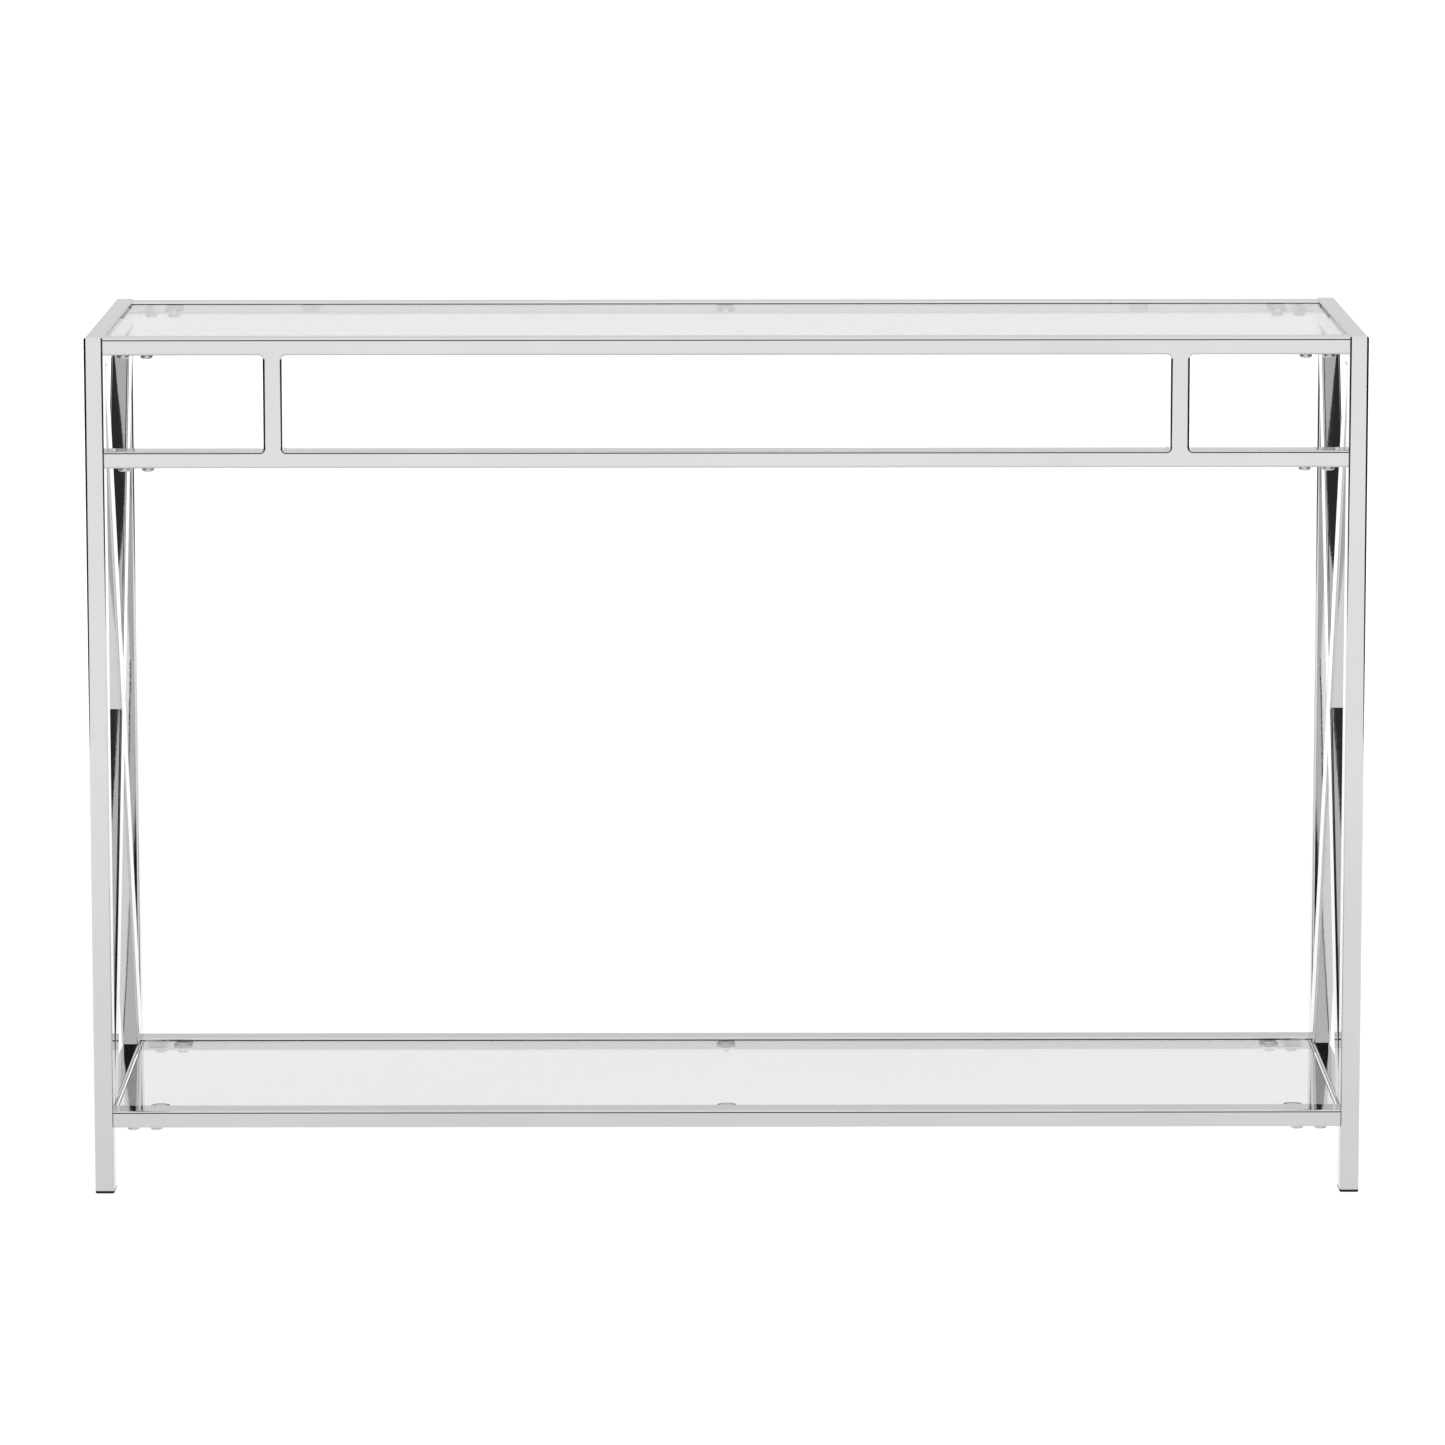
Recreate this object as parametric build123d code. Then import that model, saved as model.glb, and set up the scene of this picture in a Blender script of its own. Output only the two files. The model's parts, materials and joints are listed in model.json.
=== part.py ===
from build123d import *
import os

# Console table: X is its length, -Y is its front, Z is up and the floor is z = 0. Millimetres.
LENGTH = 1200.0
DEPTH = 380.0
HEIGHT = 816.0

# Rectangular steel tube of the two side frames.
TUBE_WIDTH = 18.0
TUBE_DEPTH = 30.0
TUBE_WALL = 1.5
TUBE_RADIUS = 2.5

# Long rails, the same tube lying flat, bolted between the side frames.
RAIL_DEPTH = 30.0
RAIL_HEIGHT = 16.0
TOP_STEP = 1.0  # the long top rails sit this far under the side frames' top faces
APRON_TOP = 709.0
SHELF_TOP = 79.5

# Crossed bars of a side frame, a deeper tube than the legs.
BRACE_DEPTH = 36.0
BRACE_LEAN = 23.1  # degrees from upright
BRACE_CROSSING = 439.5  # height of the crossing
BRACE_STOCK = 900.0  # bar length before its ends are trimmed

# Short upright bars of the front apron and the weld metal dressed smooth round their ends.
APRON_BAR_X = 424.0
WELD_RADIUS = 3.5

# Plastic feet.
FOOT_THICKNESS = 2.5
PLUG_HEIGHT = 18.0
PLUG_WALL = 1.8
PLUG_CLEARANCE = 0.1

# Spigots welded to the legs, one inside each rail end.
SPIGOT_LENGTH = 52.0
SPIGOT_CLEARANCE = 0.2

# Pan head screws, driven up from under each rail end.
SCREW_OFFSETS = (18.0, 40.0)  # distances from the leg
SHANK_RADIUS = 3.0
SHANK_LENGTH = 11.0
TAPPED_RADIUS = 3.05
HOLE_RADIUS = 3.4
HEAD_RADIUS = 6.0
HEAD_HEIGHT = 4.2
HEAD_EDGE = 1.9
RECESS_WIDTH = 1.1
RECESS_LENGTH = 6.4
RECESS_DEPTH = 1.8

# Glass panes, dropped in between the rails.
GLASS_THICKNESS = 5.0
GLASS_STEP = 2.0  # a pane's face sits this far under the rails' top faces
GLASS_END_GAP = 1.75
GLASS_RAIL_GAP = 1.75
GLASS_CORNER = 3.0
GLASS_ARRIS = 0.6

# Tabs welded to the rails under the panes, each with a clear pad.
TAB_X = 540.0
TAB_WIDTH = 18.5
TAB_REACH = 22.0
TAB_THICKNESS = 2.0
TAB_HOLE = 3.0
PAD_RADIUS = 9.0
PAD_LIP = 7.6  # radius of the pad where it sits on its tab
PAD_HEIGHT = 2.5
PAD_CUP_RADIUS = 6.0
PAD_CUP_DEPTH = 0.8
STEM_RADIUS = 2.95
BULB_RADIUS = 3.8
BULB_HEIGHT = 3.2
BULB_TIP = 2.4

# Values worked out from the ones above.
SIDE_X = (LENGTH - TUBE_WIDTH) / 2
LEG_Y = (DEPTH - TUBE_DEPTH) / 2
INNER_X = LENGTH / 2 - TUBE_WIDTH
INNER_Y = DEPTH / 2 - TUBE_DEPTH
RAIL_Y = (DEPTH - RAIL_DEPTH) / 2
SIDE_RAIL_BOTTOM = HEIGHT - TUBE_DEPTH
TOP_RAIL_BOTTOM = HEIGHT - TOP_STEP - RAIL_HEIGHT
APRON_BOTTOM = APRON_TOP - RAIL_HEIGHT
SHELF_BOTTOM = SHELF_TOP - RAIL_HEIGHT
INNER_RADIUS = TUBE_RADIUS - TUBE_WALL
APRON_BAR_LENGTH = TOP_RAIL_BOTTOM - APRON_TOP
SIDES = {"left": -1, "right": 1}


def save(shape, node):
    export_step(shape, f"parts/{node}.step")


def tube(width, depth, length):
    """Rectangular tube standing on z = 0."""
    outer = RectangleRounded(width, depth, TUBE_RADIUS)
    bore = RectangleRounded(width - 2 * TUBE_WALL, depth - 2 * TUBE_WALL, INNER_RADIUS)
    return extrude(outer - bore, length)


def side_prism(*points):
    """Prism across a side frame, drawn as (y, z) points."""
    return extrude(Plane.YZ * Polygon(*points, align=None), TUBE_WIDTH, both=True)


def leg(front):
    """Leg with its top end mitred, for the side frame at x = 0."""
    outer_y = front * DEPTH / 2
    inner_y = front * INNER_Y
    stock = Pos(0, front * LEG_Y, FOOT_THICKNESS) * tube(TUBE_WIDTH, TUBE_DEPTH, HEIGHT)
    keep = side_prism((outer_y, 0), (inner_y, 0), (inner_y, SIDE_RAIL_BOTTOM), (outer_y, HEIGHT))
    return stock & keep


def side_top_rail():
    """Top member of a side frame, mitred to both legs."""
    stock = Rot(-90, 0, 0) * tube(TUBE_WIDTH, TUBE_DEPTH, DEPTH)
    stock = Pos(0, -DEPTH / 2, HEIGHT - TUBE_DEPTH / 2) * stock
    half = DEPTH / 2
    low = SIDE_RAIL_BOTTOM
    return stock & side_prism((-half, HEIGHT), (half, HEIGHT), (INNER_Y, low), (-INNER_Y, low))


def side_lower_rail():
    """Low member of a side frame, between the legs."""
    stock = Rot(-90, 0, 0) * tube(TUBE_WIDTH, RAIL_HEIGHT, 2 * INNER_Y)
    return Pos(0, -INNER_Y, SHELF_TOP - RAIL_HEIGHT / 2) * stock


def brace_bars():
    """One whole crossing bar and the two halves welded to it: (whole, upper half, lower half)."""
    window_height = SIDE_RAIL_BOTTOM - SHELF_TOP
    window = Pos(0, 0, SHELF_TOP + window_height / 2) * Box(2 * TUBE_WIDTH, 2 * INNER_Y, window_height)
    stock = Pos(0, 0, -BRACE_STOCK / 2) * tube(TUBE_WIDTH, BRACE_DEPTH, BRACE_STOCK)
    whole = Pos(0, 0, BRACE_CROSSING) * Rot(BRACE_LEAN, 0, 0) * stock
    blocked = Box(2 * TUBE_WIDTH, BRACE_DEPTH, BRACE_STOCK)
    blocked = Pos(0, 0, BRACE_CROSSING) * Rot(BRACE_LEAN, 0, 0) * blocked
    crossed = Pos(0, 0, BRACE_CROSSING) * Rot(-BRACE_LEAN, 0, 0) * stock
    lower, upper = ((crossed & window) - blocked).solids().sort_by(Axis.Z)
    return whole & window, upper, lower


def foot():
    """Foot flange under a leg, with a hollow plug up inside the tube."""
    flange = extrude(RectangleRounded(TUBE_WIDTH, TUBE_DEPTH, TUBE_RADIUS), FOOT_THICKNESS)
    flange = chamfer(flange.edges().group_by(Axis.Z)[0], 0.5)
    plug_width = TUBE_WIDTH - 2 * (TUBE_WALL + PLUG_CLEARANCE)
    plug_depth = TUBE_DEPTH - 2 * (TUBE_WALL + PLUG_CLEARANCE)
    core_width = plug_width - 2 * PLUG_WALL
    core_depth = plug_depth - 2 * PLUG_WALL
    ring = RectangleRounded(plug_width, plug_depth, INNER_RADIUS) - Rectangle(core_width, core_depth)
    return flange + Pos(0, 0, FOOT_THICKNESS) * extrude(ring, PLUG_HEIGHT)


def screw_positions():
    """X positions of the four screws of a long rail."""
    return [side * (INNER_X - offset) for side in SIDES.values() for offset in SCREW_OFFSETS]


def long_rail():
    """Rail centred on x = 0 and y = 0 with its underside on z = 0, bored for its screws."""
    rail = Rot(0, 90, 0) * tube(RAIL_HEIGHT, RAIL_DEPTH, 2 * INNER_X)
    rail = Pos(-INNER_X, 0, RAIL_HEIGHT / 2) * rail
    holes = [Pos(x, 0, 0) * Cylinder(HOLE_RADIUS, 4 * TUBE_WALL) for x in screw_positions()]
    return rail - holes


def spigot(side):
    """Inner stub welded to a leg, tapped for two screws, in the frame of long_rail."""
    depth = RAIL_DEPTH - 2 * (TUBE_WALL + SPIGOT_CLEARANCE)
    height = RAIL_HEIGHT - 2 * TUBE_WALL - SPIGOT_CLEARANCE
    centre_x = side * (INNER_X - SPIGOT_LENGTH / 2)
    block = Pos(centre_x, 0, TUBE_WALL + height / 2) * Box(SPIGOT_LENGTH, depth, height)
    block = chamfer(block.edges().filter_by(Axis.X), 0.8)
    holes = []
    for offset in SCREW_OFFSETS:
        bore = Cylinder(TAPPED_RADIUS, 2 * RAIL_HEIGHT)
        holes.append(Pos(side * (INNER_X - offset), 0, RAIL_HEIGHT / 2) * bore)
    return block - holes


def screw():
    """Pan head screw pointing up, the underside of its head on z = 0."""
    head = Pos(0, 0, -HEAD_HEIGHT / 2) * Cylinder(HEAD_RADIUS, HEAD_HEIGHT)
    head = fillet(head.edges().group_by(Axis.Z)[0], HEAD_EDGE)
    shank = Pos(0, 0, SHANK_LENGTH / 2) * Cylinder(SHANK_RADIUS, SHANK_LENGTH)
    shank = chamfer(shank.edges().group_by(Axis.Z)[-1], 0.6)
    slot = Box(RECESS_LENGTH, RECESS_WIDTH, RECESS_DEPTH) + Box(RECESS_WIDTH, RECESS_LENGTH, RECESS_DEPTH)
    return head + shank - Pos(0, 0, RECESS_DEPTH / 2 - HEAD_HEIGHT) * slot


def weld():
    """Weld metal dressed smooth round the top end of an apron bar, which meets a rail at z = 0."""
    reach = TUBE_WIDTH / 2 + WELD_RADIUS
    rail = Pos(0, RAIL_HEIGHT / 2) * Rectangle(4 * reach, RAIL_HEIGHT)
    stem = Pos(0, -reach) * Rectangle(TUBE_WIDTH, 2 * reach)
    outline = rail + stem
    inside = [v for v in outline.vertices() if abs(v.Y) < 1e-6 and abs(v.X) < reach]
    outline = fillet(inside, WELD_RADIUS)
    joint = extrude(Plane.XZ * outline, RAIL_DEPTH / 2, both=True)
    rims = joint.edges().filter_by(lambda e: abs(abs(e.center().Y) - RAIL_DEPTH / 2) < 1e-6)
    rims = rims.filter_by(lambda e: -2 * reach + 1e-6 < e.center().Z < RAIL_HEIGHT / 2)
    rims = rims.filter_by(lambda e: abs(e.center().X) < 2 * reach - 1e-6)
    joint = fillet(rims, TUBE_RADIUS)
    height = TUBE_RADIUS + WELD_RADIUS
    joint &= Pos(0, 0, TUBE_RADIUS - height / 2) * Box(2 * reach, RAIL_DEPTH, height)
    section = RectangleRounded(RAIL_HEIGHT, RAIL_DEPTH, TUBE_RADIUS)
    rail_end = Rot(0, 90, 0) * extrude(section, 2 * reach, both=True)
    bar_end = extrude(RectangleRounded(TUBE_WIDTH, RAIL_DEPTH, TUBE_RADIUS), -2 * reach)
    return joint - Pos(0, 0, RAIL_HEIGHT / 2) * rail_end - bar_end


def apron_welds():
    """Weld metal at both ends of both apron bars."""
    top = weld()
    bottom = Rot(180, 0, 0) * top
    beads = []
    for sign in SIDES.values():
        beads.append(Pos(sign * APRON_BAR_X, -RAIL_Y, TOP_RAIL_BOTTOM) * top)
        beads.append(Pos(sign * APRON_BAR_X, -RAIL_Y, APRON_TOP) * bottom)
    return Part() + beads


def pane():
    """Glass pane standing on z = 0 with polished edges."""
    glass_length = 2 * (INNER_X - GLASS_END_GAP)
    glass_depth = 2 * (INNER_Y - GLASS_RAIL_GAP)
    glass = extrude(RectangleRounded(glass_length, glass_depth, GLASS_CORNER), GLASS_THICKNESS)
    rims = glass.edges().group_by(Axis.Z)[0] + glass.edges().group_by(Axis.Z)[-1]
    return chamfer(rims, GLASS_ARRIS)


def tab():
    """Tab reaching in +Y from y = 0, its top on z = 0."""
    radius = TAB_WIDTH / 2
    straight = TAB_REACH - radius
    outline = Pos(0, straight / 2) * Rectangle(TAB_WIDTH, straight) + Pos(0, straight) * Circle(radius)
    outline -= Pos(0, straight) * Circle(TAB_HOLE)
    return Pos(0, 0, -TAB_THICKNESS) * extrude(outline, TAB_THICKNESS)


def pad():
    """Clear pad on a tab: a cupped disc above z = 0, a stem through the tab and a bulb under it."""
    tab_under = -TAB_THICKNESS
    tip = tab_under - BULB_HEIGHT
    profile = Polyline(
        (0, PAD_HEIGHT - PAD_CUP_DEPTH),
        (PAD_CUP_RADIUS, PAD_HEIGHT),
        (PAD_RADIUS, PAD_HEIGHT),
        (PAD_LIP, 0),
        (STEM_RADIUS, 0),
        (STEM_RADIUS, tab_under),
        (BULB_RADIUS, tab_under),
        (BULB_TIP, tip),
        (0, tip),
        close=True,
    )
    return revolve(Plane.XZ * make_face(profile), Axis.Z)


def along_rail(piece, front, glass_bottom):
    """Three copies of a tab or pad along a rail, at the ends and the middle, under a pane."""
    turn = Rot(0, 0, 0 if front < 0 else 180)
    reach_y = front * INNER_Y
    top = glass_bottom - PAD_HEIGHT
    return Part() + [Pos(x, reach_y, top) * turn * piece for x in (-TAB_X, 0, TAB_X)]


# Side frames.
whole_bar, upper_half, lower_half = brace_bars()
for side, sign in SIDES.items():
    place = Pos(sign * SIDE_X, 0, 0)
    save(place * leg(-1), f"{side}_front_leg")
    save(place * leg(1), f"{side}_rear_leg")
    save(place * side_top_rail(), f"{side}_side_top_rail")
    save(place * side_lower_rail(), f"{side}_side_lower_rail")
    save(place * whole_bar, f"{side}_brace_whole_bar")
    save(place * upper_half, f"{side}_brace_upper_half")
    save(place * lower_half, f"{side}_brace_lower_half")
    save(place * Pos(0, -LEG_Y, 0) * foot(), f"{side}_front_foot")
    save(place * Pos(0, LEG_Y, 0) * foot(), f"{side}_rear_foot")

# Long rails with their spigots and screws.
rails = {
    "top_front": (-RAIL_Y, TOP_RAIL_BOTTOM),
    "top_rear": (RAIL_Y, TOP_RAIL_BOTTOM),
    "apron": (-RAIL_Y, APRON_BOTTOM),
    "shelf_front": (-RAIL_Y, SHELF_BOTTOM),
    "shelf_rear": (RAIL_Y, SHELF_BOTTOM),
}
plain_rail = long_rail()
rail_screws = Part() + [Pos(x, 0, 0) * screw() for x in screw_positions()]
for rail, (y, z) in rails.items():
    place = Pos(0, y, z)
    save(place * plain_rail, f"{rail}_rail")
    save(place * rail_screws, f"{rail}_screws")
    for side, sign in SIDES.items():
        save(place * spigot(sign), f"{rail}_spigot_{side}")

# Front apron bars.
apron_bar = tube(TUBE_WIDTH, RAIL_DEPTH, APRON_BAR_LENGTH)
for side, sign in SIDES.items():
    save(Pos(sign * APRON_BAR_X, -RAIL_Y, APRON_TOP) * apron_bar, f"apron_bar_{side}")
save(apron_welds(), "apron_bar_welds")

# Glass panes on their tabs and pads.
pad_y = TAB_REACH - TAB_WIDTH / 2
for level, rail_top in {"top": HEIGHT - TOP_STEP, "shelf": SHELF_TOP}.items():
    glass_bottom = rail_top - GLASS_STEP - GLASS_THICKNESS
    save(Pos(0, 0, glass_bottom) * pane(), f"{level}_glass")
    for row, front in {"front": -1, "rear": 1}.items():
        save(along_rail(tab(), front, glass_bottom), f"{level}_{row}_tabs")
        save(along_rail(Pos(0, pad_y, 0) * pad(), front, glass_bottom), f"{level}_{row}_pads")
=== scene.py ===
import json
import math

import bpy
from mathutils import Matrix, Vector


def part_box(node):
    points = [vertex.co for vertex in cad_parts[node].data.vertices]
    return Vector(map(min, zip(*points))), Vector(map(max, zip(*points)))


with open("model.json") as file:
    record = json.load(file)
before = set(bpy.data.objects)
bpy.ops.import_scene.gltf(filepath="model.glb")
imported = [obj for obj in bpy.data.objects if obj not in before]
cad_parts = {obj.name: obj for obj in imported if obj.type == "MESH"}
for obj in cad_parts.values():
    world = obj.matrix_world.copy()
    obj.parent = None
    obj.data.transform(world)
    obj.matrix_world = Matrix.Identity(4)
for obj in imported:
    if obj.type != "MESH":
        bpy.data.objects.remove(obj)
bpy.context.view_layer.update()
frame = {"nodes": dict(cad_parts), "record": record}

NODES = frame["nodes"]

# Camera: at the photograph's viewing angle, aimed slightly down.
CAMERA_AT = (-0.015, -6.945, 1.504)
CAMERA_PITCH = 8.85
CAMERA_YAW = 0.102
CAMERA_ROLL = 0.051
CAMERA_LENS = 181.1

# Shading.
SOFT_EDGE = 38  # degrees; gentler edges are shaded smooth
GLASS_EDGE_START = 0.0012  # the greener glass edge begins this far in from the pane's rim
GLASS_EDGE_FULL = 0.0002

# Studio.
SKY_STRENGTH = 1.25
FLOOR_HALF = 40.0
# Painted shade: the floor glows less close to the table, standing in for the shade around it.
GLOW_NEAR_PAINTED_SHADE = 0.97  # the floor close to the table
GLOW_FAR = 1.15  # the floor a few metres away
FLOOR_TONE = 0.1
FLAG_X = 3.3
FLAG_HEIGHT = 2.2
FLAG_FRONT = -8.0
FLAG_BACK = 3.0


# ---------------------------------------------------------------- node helpers
class Tree:
    """Short calls for building one material's nodes."""

    def __init__(self, name):
        self.material = bpy.data.materials.new(name)
        self.material.use_nodes = True
        self.nodes = self.material.node_tree.nodes
        self.links = self.material.node_tree.links
        self.shader = self.nodes["Principled BSDF"]
        self.place = self.nodes.new("ShaderNodeTexCoord").outputs["Object"]

    def set(self, **values):
        for key, value in values.items():
            self.shader.inputs[key.replace("_", " ")].default_value = value

    def link(self, output, socket):
        self.links.new(output, self.shader.inputs[socket])

    def stretched(self, x, y, z):
        node = self.nodes.new("ShaderNodeMapping")
        node.inputs["Scale"].default_value = (x, y, z)
        self.links.new(self.place, node.inputs["Vector"])
        return node.outputs["Vector"]

    def noise(self, scale, detail=3.0, rough=0.5, place=None):
        node = self.nodes.new("ShaderNodeTexNoise")
        node.inputs["Scale"].default_value = scale
        node.inputs["Detail"].default_value = detail
        node.inputs["Roughness"].default_value = rough
        self.links.new(place or self.place, node.inputs["Vector"])
        return node.outputs["Fac"]

    def remap(self, value, low, high, to_low, to_high):
        node = self.nodes.new("ShaderNodeMapRange")
        for key, number in zip(("From Min", "From Max", "To Min", "To Max"), (low, high, to_low, to_high)):
            node.inputs[key].default_value = number
        self.links.new(value, node.inputs["Value"])
        return node.outputs["Result"]

    def math(self, operation, a, b=None):
        node = self.nodes.new("ShaderNodeMath")
        node.operation = operation
        for socket, value in zip(node.inputs, (a, b)):
            if value is None:
                continue
            if isinstance(value, (int, float)):
                socket.default_value = value
            else:
                self.links.new(value, socket)
        return node.outputs["Value"]

    def mix(self, factor, a, b):
        node = self.nodes.new("ShaderNodeMix")
        node.data_type = "RGBA"
        self.links.new(factor, node.inputs["Factor"])
        for key, colour in (("A", a), ("B", b)):
            socket = [s for s in node.inputs if s.name == key and s.type == "RGBA"][0]
            if isinstance(colour, tuple):
                socket.default_value = (*colour, 1.0)
            else:
                self.links.new(colour, socket)
        return [s for s in node.outputs if s.type == "RGBA"][0]

    def bump(self, *layers):
        """Bumps laid over each other: (height, strength, distance in metres)."""
        normal = None
        for height, strength, distance in layers:
            node = self.nodes.new("ShaderNodeBump")
            node.inputs["Strength"].default_value = strength
            node.inputs["Distance"].default_value = distance
            self.links.new(height, node.inputs["Height"])
            if normal:
                self.links.new(normal, node.inputs["Normal"])
            normal = node.outputs["Normal"]
        self.link(normal, "Normal")


# ------------------------------------------------------------------- materials
def chrome(name, bright, dull, rough):
    """Polished plate: faint tone patches, tiny specks, and the steel's slight waviness under it."""
    t = Tree(name)
    patches = t.noise(5.0, 4.0, 0.6)
    specks = t.noise(900.0, 2.0)
    haze = t.noise(28.0, 5.0, 0.62)
    t.link(t.mix(t.remap(patches, 0.35, 0.65, 0.0, 1.0), dull, bright), "Base Color")
    marks = t.remap(specks, 0.66, 0.78, 0.0, 0.1)
    t.link(t.math("ADD", t.remap(haze, 0.3, 0.75, rough, rough + 0.045), marks), "Roughness")
    t.set(Metallic=1.0)
    t.bump((t.noise(14.0, 2.0), 0.25, 0.0006), (t.noise(420.0, 2.0), 0.08, 0.00006))
    return t.material


def screw_steel():
    t = Tree("screw_steel")
    grain = t.noise(1300.0, 3.0)
    t.link(t.mix(t.remap(grain, 0.3, 0.7, 0.0, 1.0), (0.42, 0.43, 0.44), (0.6, 0.61, 0.62)), "Base Color")
    t.link(t.remap(t.noise(500.0, 4.0), 0.3, 0.7, 0.16, 0.34), "Roughness")
    t.set(Metallic=1.0)
    t.bump((grain, 0.2, 0.0001))
    return t.material


def bare_steel():
    t = Tree("bare_steel")
    streaks = t.noise(40.0, 4.0, 0.6, t.stretched(0.3, 6.0, 6.0))
    t.link(t.mix(t.remap(streaks, 0.3, 0.7, 0.0, 1.0), (0.3, 0.3, 0.31), (0.46, 0.46, 0.46)), "Base Color")
    t.link(t.remap(streaks, 0.3, 0.7, 0.3, 0.5), "Roughness")
    t.set(Metallic=1.0)
    t.bump((streaks, 0.2, 0.0002))
    return t.material


def clear_glass(pane_box):
    """Float glass with a greener body towards its polished edges and faint smudges."""
    t = Tree("clear_glass")
    high = pane_box[1]
    split = t.nodes.new("ShaderNodeSeparateXYZ")
    t.links.new(t.place, split.inputs["Vector"])
    side_x = t.math("ABSOLUTE", split.outputs["X"])
    side_y = t.math("ABSOLUTE", split.outputs["Y"])
    near_end = t.remap(side_x, high[0] - GLASS_EDGE_START, high[0] - GLASS_EDGE_FULL, 0.0, 1.0)
    near_side = t.remap(side_y, high[1] - GLASS_EDGE_START, high[1] - GLASS_EDGE_FULL, 0.0, 1.0)
    edge = t.math("MAXIMUM", near_end, near_side)
    tint = t.mix(t.remap(t.noise(2.5, 2.0), 0.3, 0.7, 0.0, 1.0), (0.85, 0.868, 0.838), (0.87, 0.888, 0.858))
    t.link(t.mix(edge, tint, (0.5, 0.68, 0.6)), "Base Color")
    t.link(t.remap(t.noise(18.0, 6.0, 0.7), 0.55, 0.8, 0.0, 0.02), "Roughness")
    t.set(IOR=1.5, Transmission_Weight=1.0)
    return t.material


def clear_pad():
    t = Tree("clear_pad")
    cloud = t.noise(260.0, 3.0)
    cloudy = t.remap(cloud, 0.3, 0.7, 0.0, 1.0)
    t.link(t.mix(cloudy, (0.93, 0.96, 0.945), (0.97, 0.985, 0.975)), "Base Color")
    t.link(t.remap(t.noise(600.0, 3.0), 0.3, 0.7, 0.08, 0.22), "Roughness")
    t.set(IOR=1.46, Transmission_Weight=0.55)
    t.bump((cloud, 0.1, 0.0002))
    return t.material


def black_plastic():
    t = Tree("black_plastic")
    grain = t.noise(1500.0, 3.0)
    dust = t.noise(120.0, 4.0)
    dusty = t.remap(dust, 0.4, 0.75, 0.0, 1.0)
    t.link(t.mix(dusty, (0.008, 0.008, 0.009), (0.025, 0.025, 0.026)), "Base Color")
    t.link(t.remap(grain, 0.3, 0.7, 0.32, 0.5), "Roughness")
    t.set(Specular_IOR_Level=0.2)
    t.bump((grain, 0.3, 0.0001))
    return t.material


# ------------------------------------------------------------ smooth shading
def corner_smoother():
    """Geometry nodes that join split vertices and shade rounded corners smooth."""
    tree = bpy.data.node_groups.new("corner_smoother", "GeometryNodeTree")
    tree.interface.new_socket("Geometry", in_out="INPUT", socket_type="NodeSocketGeometry")
    tree.interface.new_socket("Geometry", in_out="OUTPUT", socket_type="NodeSocketGeometry")
    start = tree.nodes.new("NodeGroupInput")
    merge = tree.nodes.new("GeometryNodeMergeByDistance")
    merge.inputs["Distance"].default_value = 1e-6
    angle = tree.nodes.new("GeometryNodeInputMeshEdgeAngle")
    soft = tree.nodes.new("FunctionNodeCompare")
    soft.data_type = "FLOAT"
    soft.operation = "LESS_THAN"
    soft.inputs["B"].default_value = math.radians(SOFT_EDGE)
    faces = tree.nodes.new("GeometryNodeSetShadeSmooth")
    faces.domain = "FACE"
    edges = tree.nodes.new("GeometryNodeSetShadeSmooth")
    edges.domain = "EDGE"
    end = tree.nodes.new("NodeGroupOutput")
    link = tree.links.new
    link(start.outputs[0], merge.inputs["Geometry"])
    link(merge.outputs["Geometry"], faces.inputs["Geometry"])
    link(faces.outputs["Geometry"], edges.inputs["Geometry"])
    link(angle.outputs["Unsigned Angle"], soft.inputs["A"])
    link(soft.outputs["Result"], edges.inputs["Shade Smooth"])
    link(edges.outputs["Geometry"], end.inputs[0])
    return tree


def shade(piece, tree):
    smooth = piece.modifiers.new("corners", "NODES")
    smooth.node_group = tree
    weighted = piece.modifiers.new("flat_faces", "WEIGHTED_NORMAL")
    weighted.keep_sharp = True
    weighted.weight = 80


def dress():
    """Gives every CAD node its material and shading."""
    tree = corner_smoother()
    materials = {
        "chrome_tube": chrome("chrome_tube", (0.595, 0.6, 0.605), (0.57, 0.575, 0.582), 0.025),
        "chrome_fittings": chrome("chrome_fittings", (0.8, 0.805, 0.81), (0.76, 0.765, 0.77), 0.06),
        "screw_steel": screw_steel(),
        "bare_steel": bare_steel(),
        "clear_glass": clear_glass(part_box("top_glass")),
        "clear_pad": clear_pad(),
        "black_plastic": black_plastic(),
    }
    slots = {part["node"]: part["material_slot"] for part in frame["record"]["subparts"]}
    for name, piece in NODES.items():
        piece.data.materials.clear()
        piece.data.materials.append(materials[slots[name]])
        shade(piece, tree)


# ---------------------------------------------------------------------- studio
def plane(name, corners, material):
    mesh = bpy.data.meshes.new(name)
    mesh.from_pydata([Vector(c) for c in corners], [], [range(len(corners))])
    mesh.materials.append(material)
    made = bpy.data.objects.new(name, mesh)
    bpy.context.scene.collection.objects.link(made)
    return made


def floor():
    """White studio floor that glows, its glow dimmer close to the table as painted shade."""
    t = Tree("studio_floor")
    mottle = t.noise(0.8, 3.0)
    dim = (FLOOR_TONE * 0.985,) * 3
    full = (FLOOR_TONE,) * 3
    t.link(t.mix(mottle, dim, full), "Base Color")
    distance = t.nodes.new("ShaderNodeVectorMath")
    distance.operation = "LENGTH"
    t.links.new(t.place, distance.inputs[0])
    # Painted shade: the glow is lowest within 0.6 m of the middle and rises until 3 m out.
    t.link(t.remap(distance.outputs["Value"], 0.6, 3.0, GLOW_NEAR_PAINTED_SHADE, GLOW_FAR), "Emission Strength")
    t.set(Roughness=0.9, Specular_IOR_Level=0.0, Emission_Color=(1, 1, 1, 1))
    h = FLOOR_HALF
    return plane("studio_floor", [(-h, -h, 0), (h, -h, 0), (h, h, 0), (-h, h, 0)], t.material)


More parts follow.
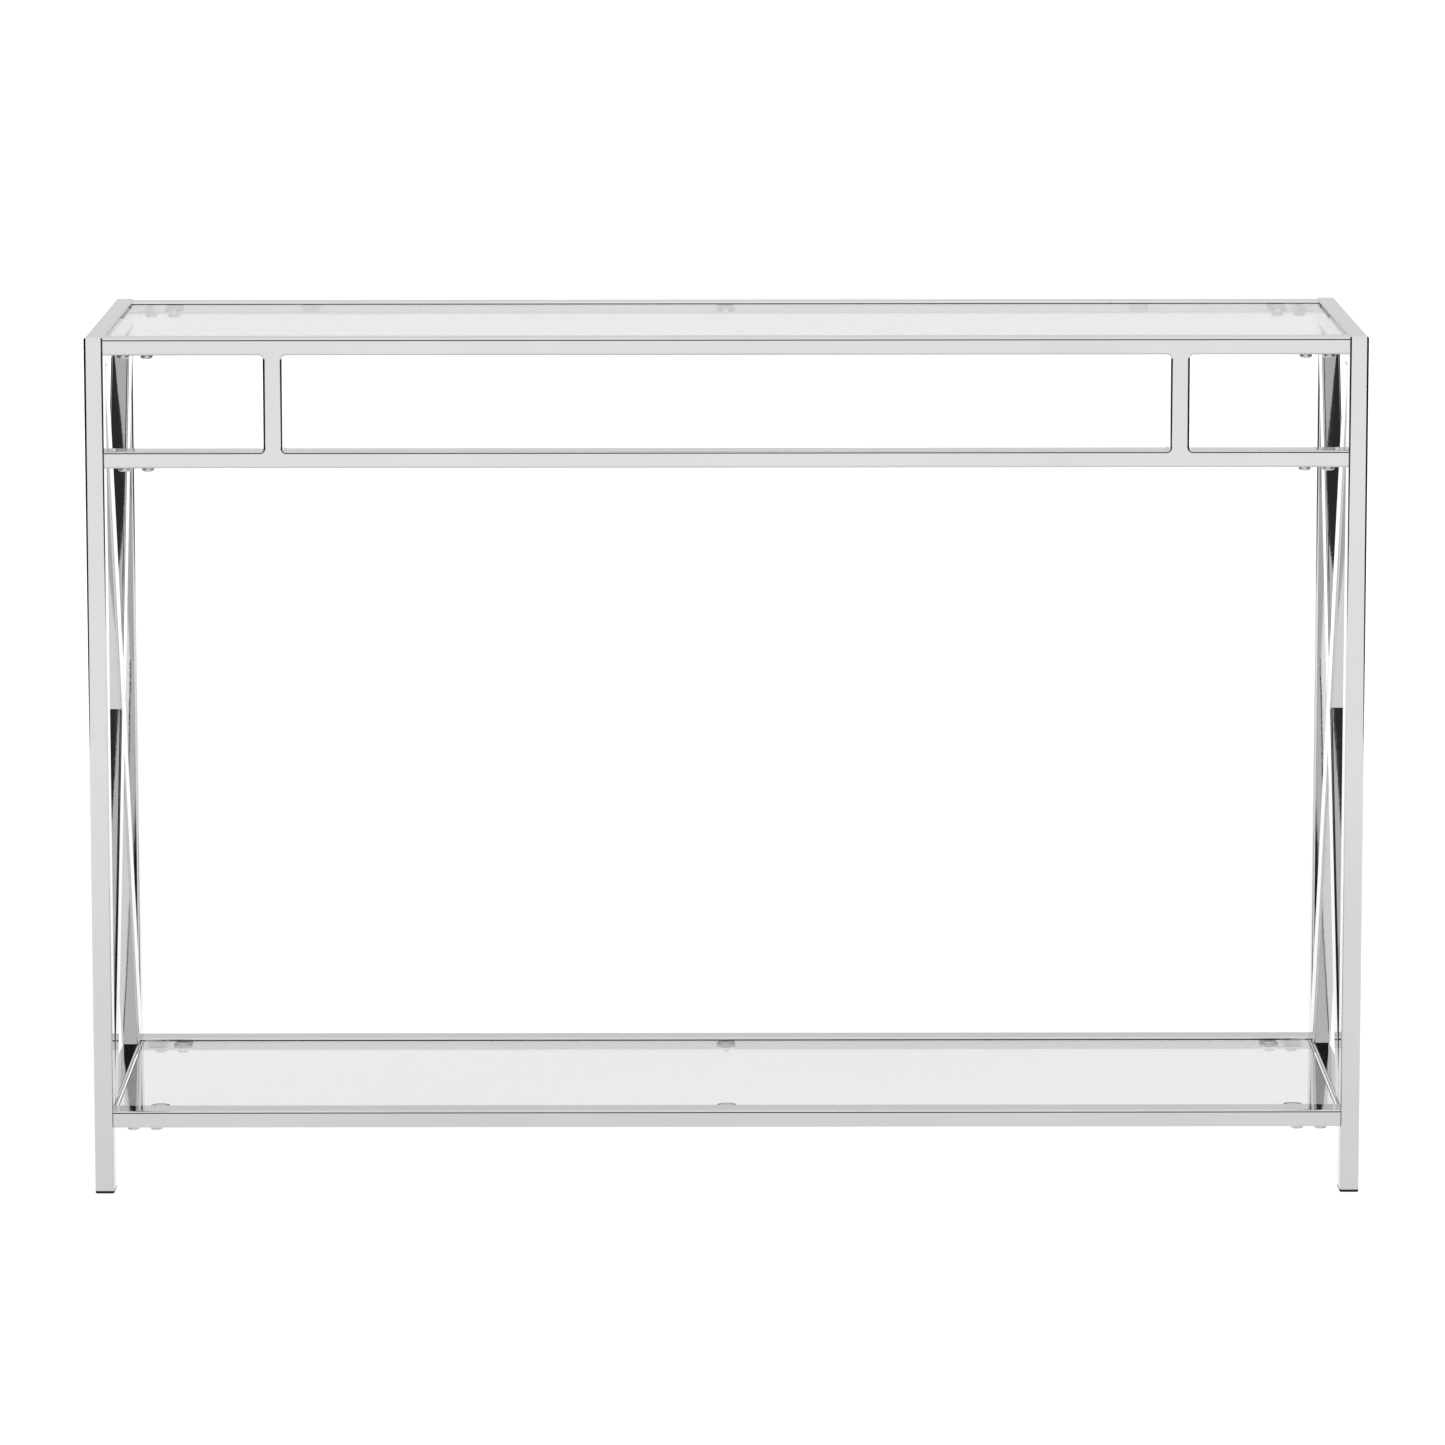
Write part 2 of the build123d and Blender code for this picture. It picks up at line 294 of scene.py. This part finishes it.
def flags():
    """Black cloths standing left and right, seen only in the chrome, where they draw its dark edges."""
    t = Tree("studio_flag")
    t.link(t.mix(t.noise(6.0), (0.004, 0.004, 0.004), (0.01, 0.01, 0.01)), "Base Color")
    t.set(Roughness=1.0, Specular_IOR_Level=0.0)
    for side in (-1, 1):
        x = side * FLAG_X
        low = [(x, FLAG_FRONT, 0), (x, FLAG_BACK, 0)]
        high = [(x, FLAG_BACK, FLAG_HEIGHT), (x, FLAG_FRONT, FLAG_HEIGHT)]
        flag = plane(f"studio_flag_{'left' if side < 0 else 'right'}", low + high, t.material)
        flag.visible_camera = False
        flag.visible_diffuse = False
        flag.visible_shadow = False
        flag.visible_transmission = False


def sky():
    """Studio seen by the chrome: pale at the back, a big soft light overhead and a dark room in front."""
    world = bpy.data.worlds.new("studio")
    bpy.context.scene.world = world
    world.use_nodes = True
    nodes, links = world.node_tree.nodes, world.node_tree.links
    where = nodes.new("ShaderNodeTexCoord")
    split = nodes.new("ShaderNodeSeparateXYZ")
    links.new(where.outputs["Generated"], split.inputs["Vector"])
    front = nodes.new("ShaderNodeMath")
    front.operation = "MULTIPLY"
    front.inputs[1].default_value = -1.0
    links.new(split.outputs["Y"], front.inputs[0])
    angle = nodes.new("ShaderNodeMath")
    angle.operation = "ARCTAN2"
    links.new(split.outputs["Z"], angle.inputs[0])
    links.new(front.outputs[0], angle.inputs[1])
    share = nodes.new("ShaderNodeMath")
    share.operation = "DIVIDE"
    share.inputs[1].default_value = math.pi
    links.new(angle.outputs[0], share.inputs[0])
    ramp = nodes.new("ShaderNodeValToRGB")
    ramp.color_ramp.interpolation = "EASE"
    bands = [
        (0, (0.95, 0.95, 0.95)),
        (3, (0.03, 0.03, 0.032)),
        (44, (0.03, 0.03, 0.032)),
        (52, (1.0, 1.0, 1.0)),
        (150, (1.0, 1.0, 1.0)),
        (160, (0.62, 0.62, 0.625)),
        (180, (0.63, 0.63, 0.635)),
    ]
    stops = ramp.color_ramp.elements
    stops.remove(stops[-1])
    stops[0].color = (*bands[0][1], 1.0)
    for degrees, colour in bands[1:]:
        stops.new(degrees / 180).color = (*colour, 1.0)
    links.new(share.outputs[0], ramp.inputs["Fac"])
    links.new(ramp.outputs["Color"], nodes["Background"].inputs["Color"])
    nodes["Background"].inputs["Strength"].default_value = SKY_STRENGTH


def camera():
    data = bpy.data.cameras.new("camera")
    data.lens = CAMERA_LENS
    data.sensor_width = 36.0
    data.clip_end = 200.0
    made = bpy.data.objects.new("camera", data)
    made.location = CAMERA_AT
    turn = (90.0 - CAMERA_PITCH, CAMERA_ROLL, -CAMERA_YAW)
    made.rotation_euler = [math.radians(a) for a in turn]
    bpy.context.scene.collection.objects.link(made)
    bpy.context.scene.camera = made


dress()
floor()
flags()
sky()
camera()
bpy.context.scene.view_settings.view_transform = "Standard"
